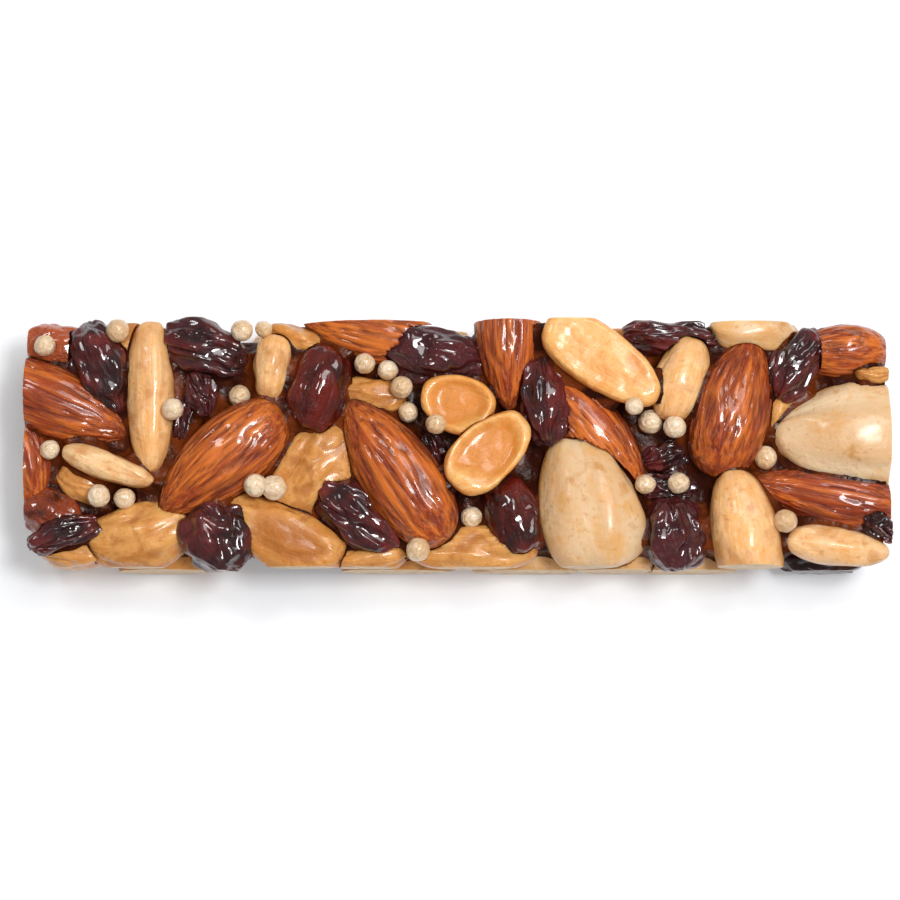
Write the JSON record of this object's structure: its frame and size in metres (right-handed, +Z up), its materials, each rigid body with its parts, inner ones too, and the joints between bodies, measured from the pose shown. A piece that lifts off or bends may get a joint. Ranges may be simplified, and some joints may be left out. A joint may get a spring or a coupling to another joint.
{
  "type": "fruit and nut granola bar",
  "caption": "Granola bar of whole almonds, golden peanuts, cream nuts, raisins, dried red fruit and crisp puffs in glossy syrup, cut flat on its sides.",
  "frame": {"origin": "middle of the bar's underside, below the middle of its box", "axes": "+X along the bar, +Z up out of its shown side, -Y towards the front side"},
  "size_m": [0.112, 0.0332, 0.0165],
  "materials": {
    "almond": "brown almond skin under a glossy syrup glaze",
    "peanut": "roasted golden peanut under a glossy syrup glaze",
    "cashew": "golden nut piece under a glossy syrup glaze",
    "brazil_nut": "cream nut under a glossy syrup glaze",
    "raisin": "near black wrinkled raisin, glossy",
    "red_fruit": "dark red dried fruit, glossy",
    "lower_layer": "nuts bound in amber syrup, glossy"
  },
  "bodies": {
    "root": {"almond_01": "almond", "almond_02": "almond", "almond_03": "almond", "almond_04": "almond", "almond_05": "almond", "almond_06": "almond", "almond_07": "almond", "almond_08": "almond", "almond_09": "almond", "almond_10": "almond", "brazil_nut_01": "brazil_nut", "brazil_nut_02": "brazil_nut", "brazil_nut_03": "brazil_nut", "cashew_01": "cashew", "cashew_02": "cashew", "cashew_03": "cashew", "cashew_04": "cashew", "cashew_05": "cashew", "cashew_06": "cashew", "cashew_07": "cashew", "cashew_08": "cashew", "cashew_09": "cashew", "cashew_10": "cashew", "cashew_11": "cashew", "cashew_12": "cashew", "lower_layer": "lower_layer", "peanut_01": "peanut", "peanut_02": "peanut", "peanut_03": "peanut", "peanut_04": "peanut", "peanut_05": "peanut", "peanut_06": "peanut", "peanut_07": "peanut", "peanut_08": "peanut", "peanut_09": "peanut", "raisin_01": "raisin", "raisin_02": "raisin", "raisin_03": "raisin", "raisin_04": "raisin", "raisin_05": "raisin", "raisin_06": "raisin", "raisin_07": "raisin", "raisin_08": "raisin", "raisin_09": "raisin", "raisin_10": "raisin", "raisin_11": "raisin", "raisin_12": "raisin", "raisin_13": "raisin", "raisin_14": "raisin", "raisin_15": "raisin", "raisin_16": "raisin", "red_fruit_01": "red_fruit", "red_fruit_02": "red_fruit", "red_fruit_03": "red_fruit", "red_fruit_04": "red_fruit"}
  },
  "joints": []
}
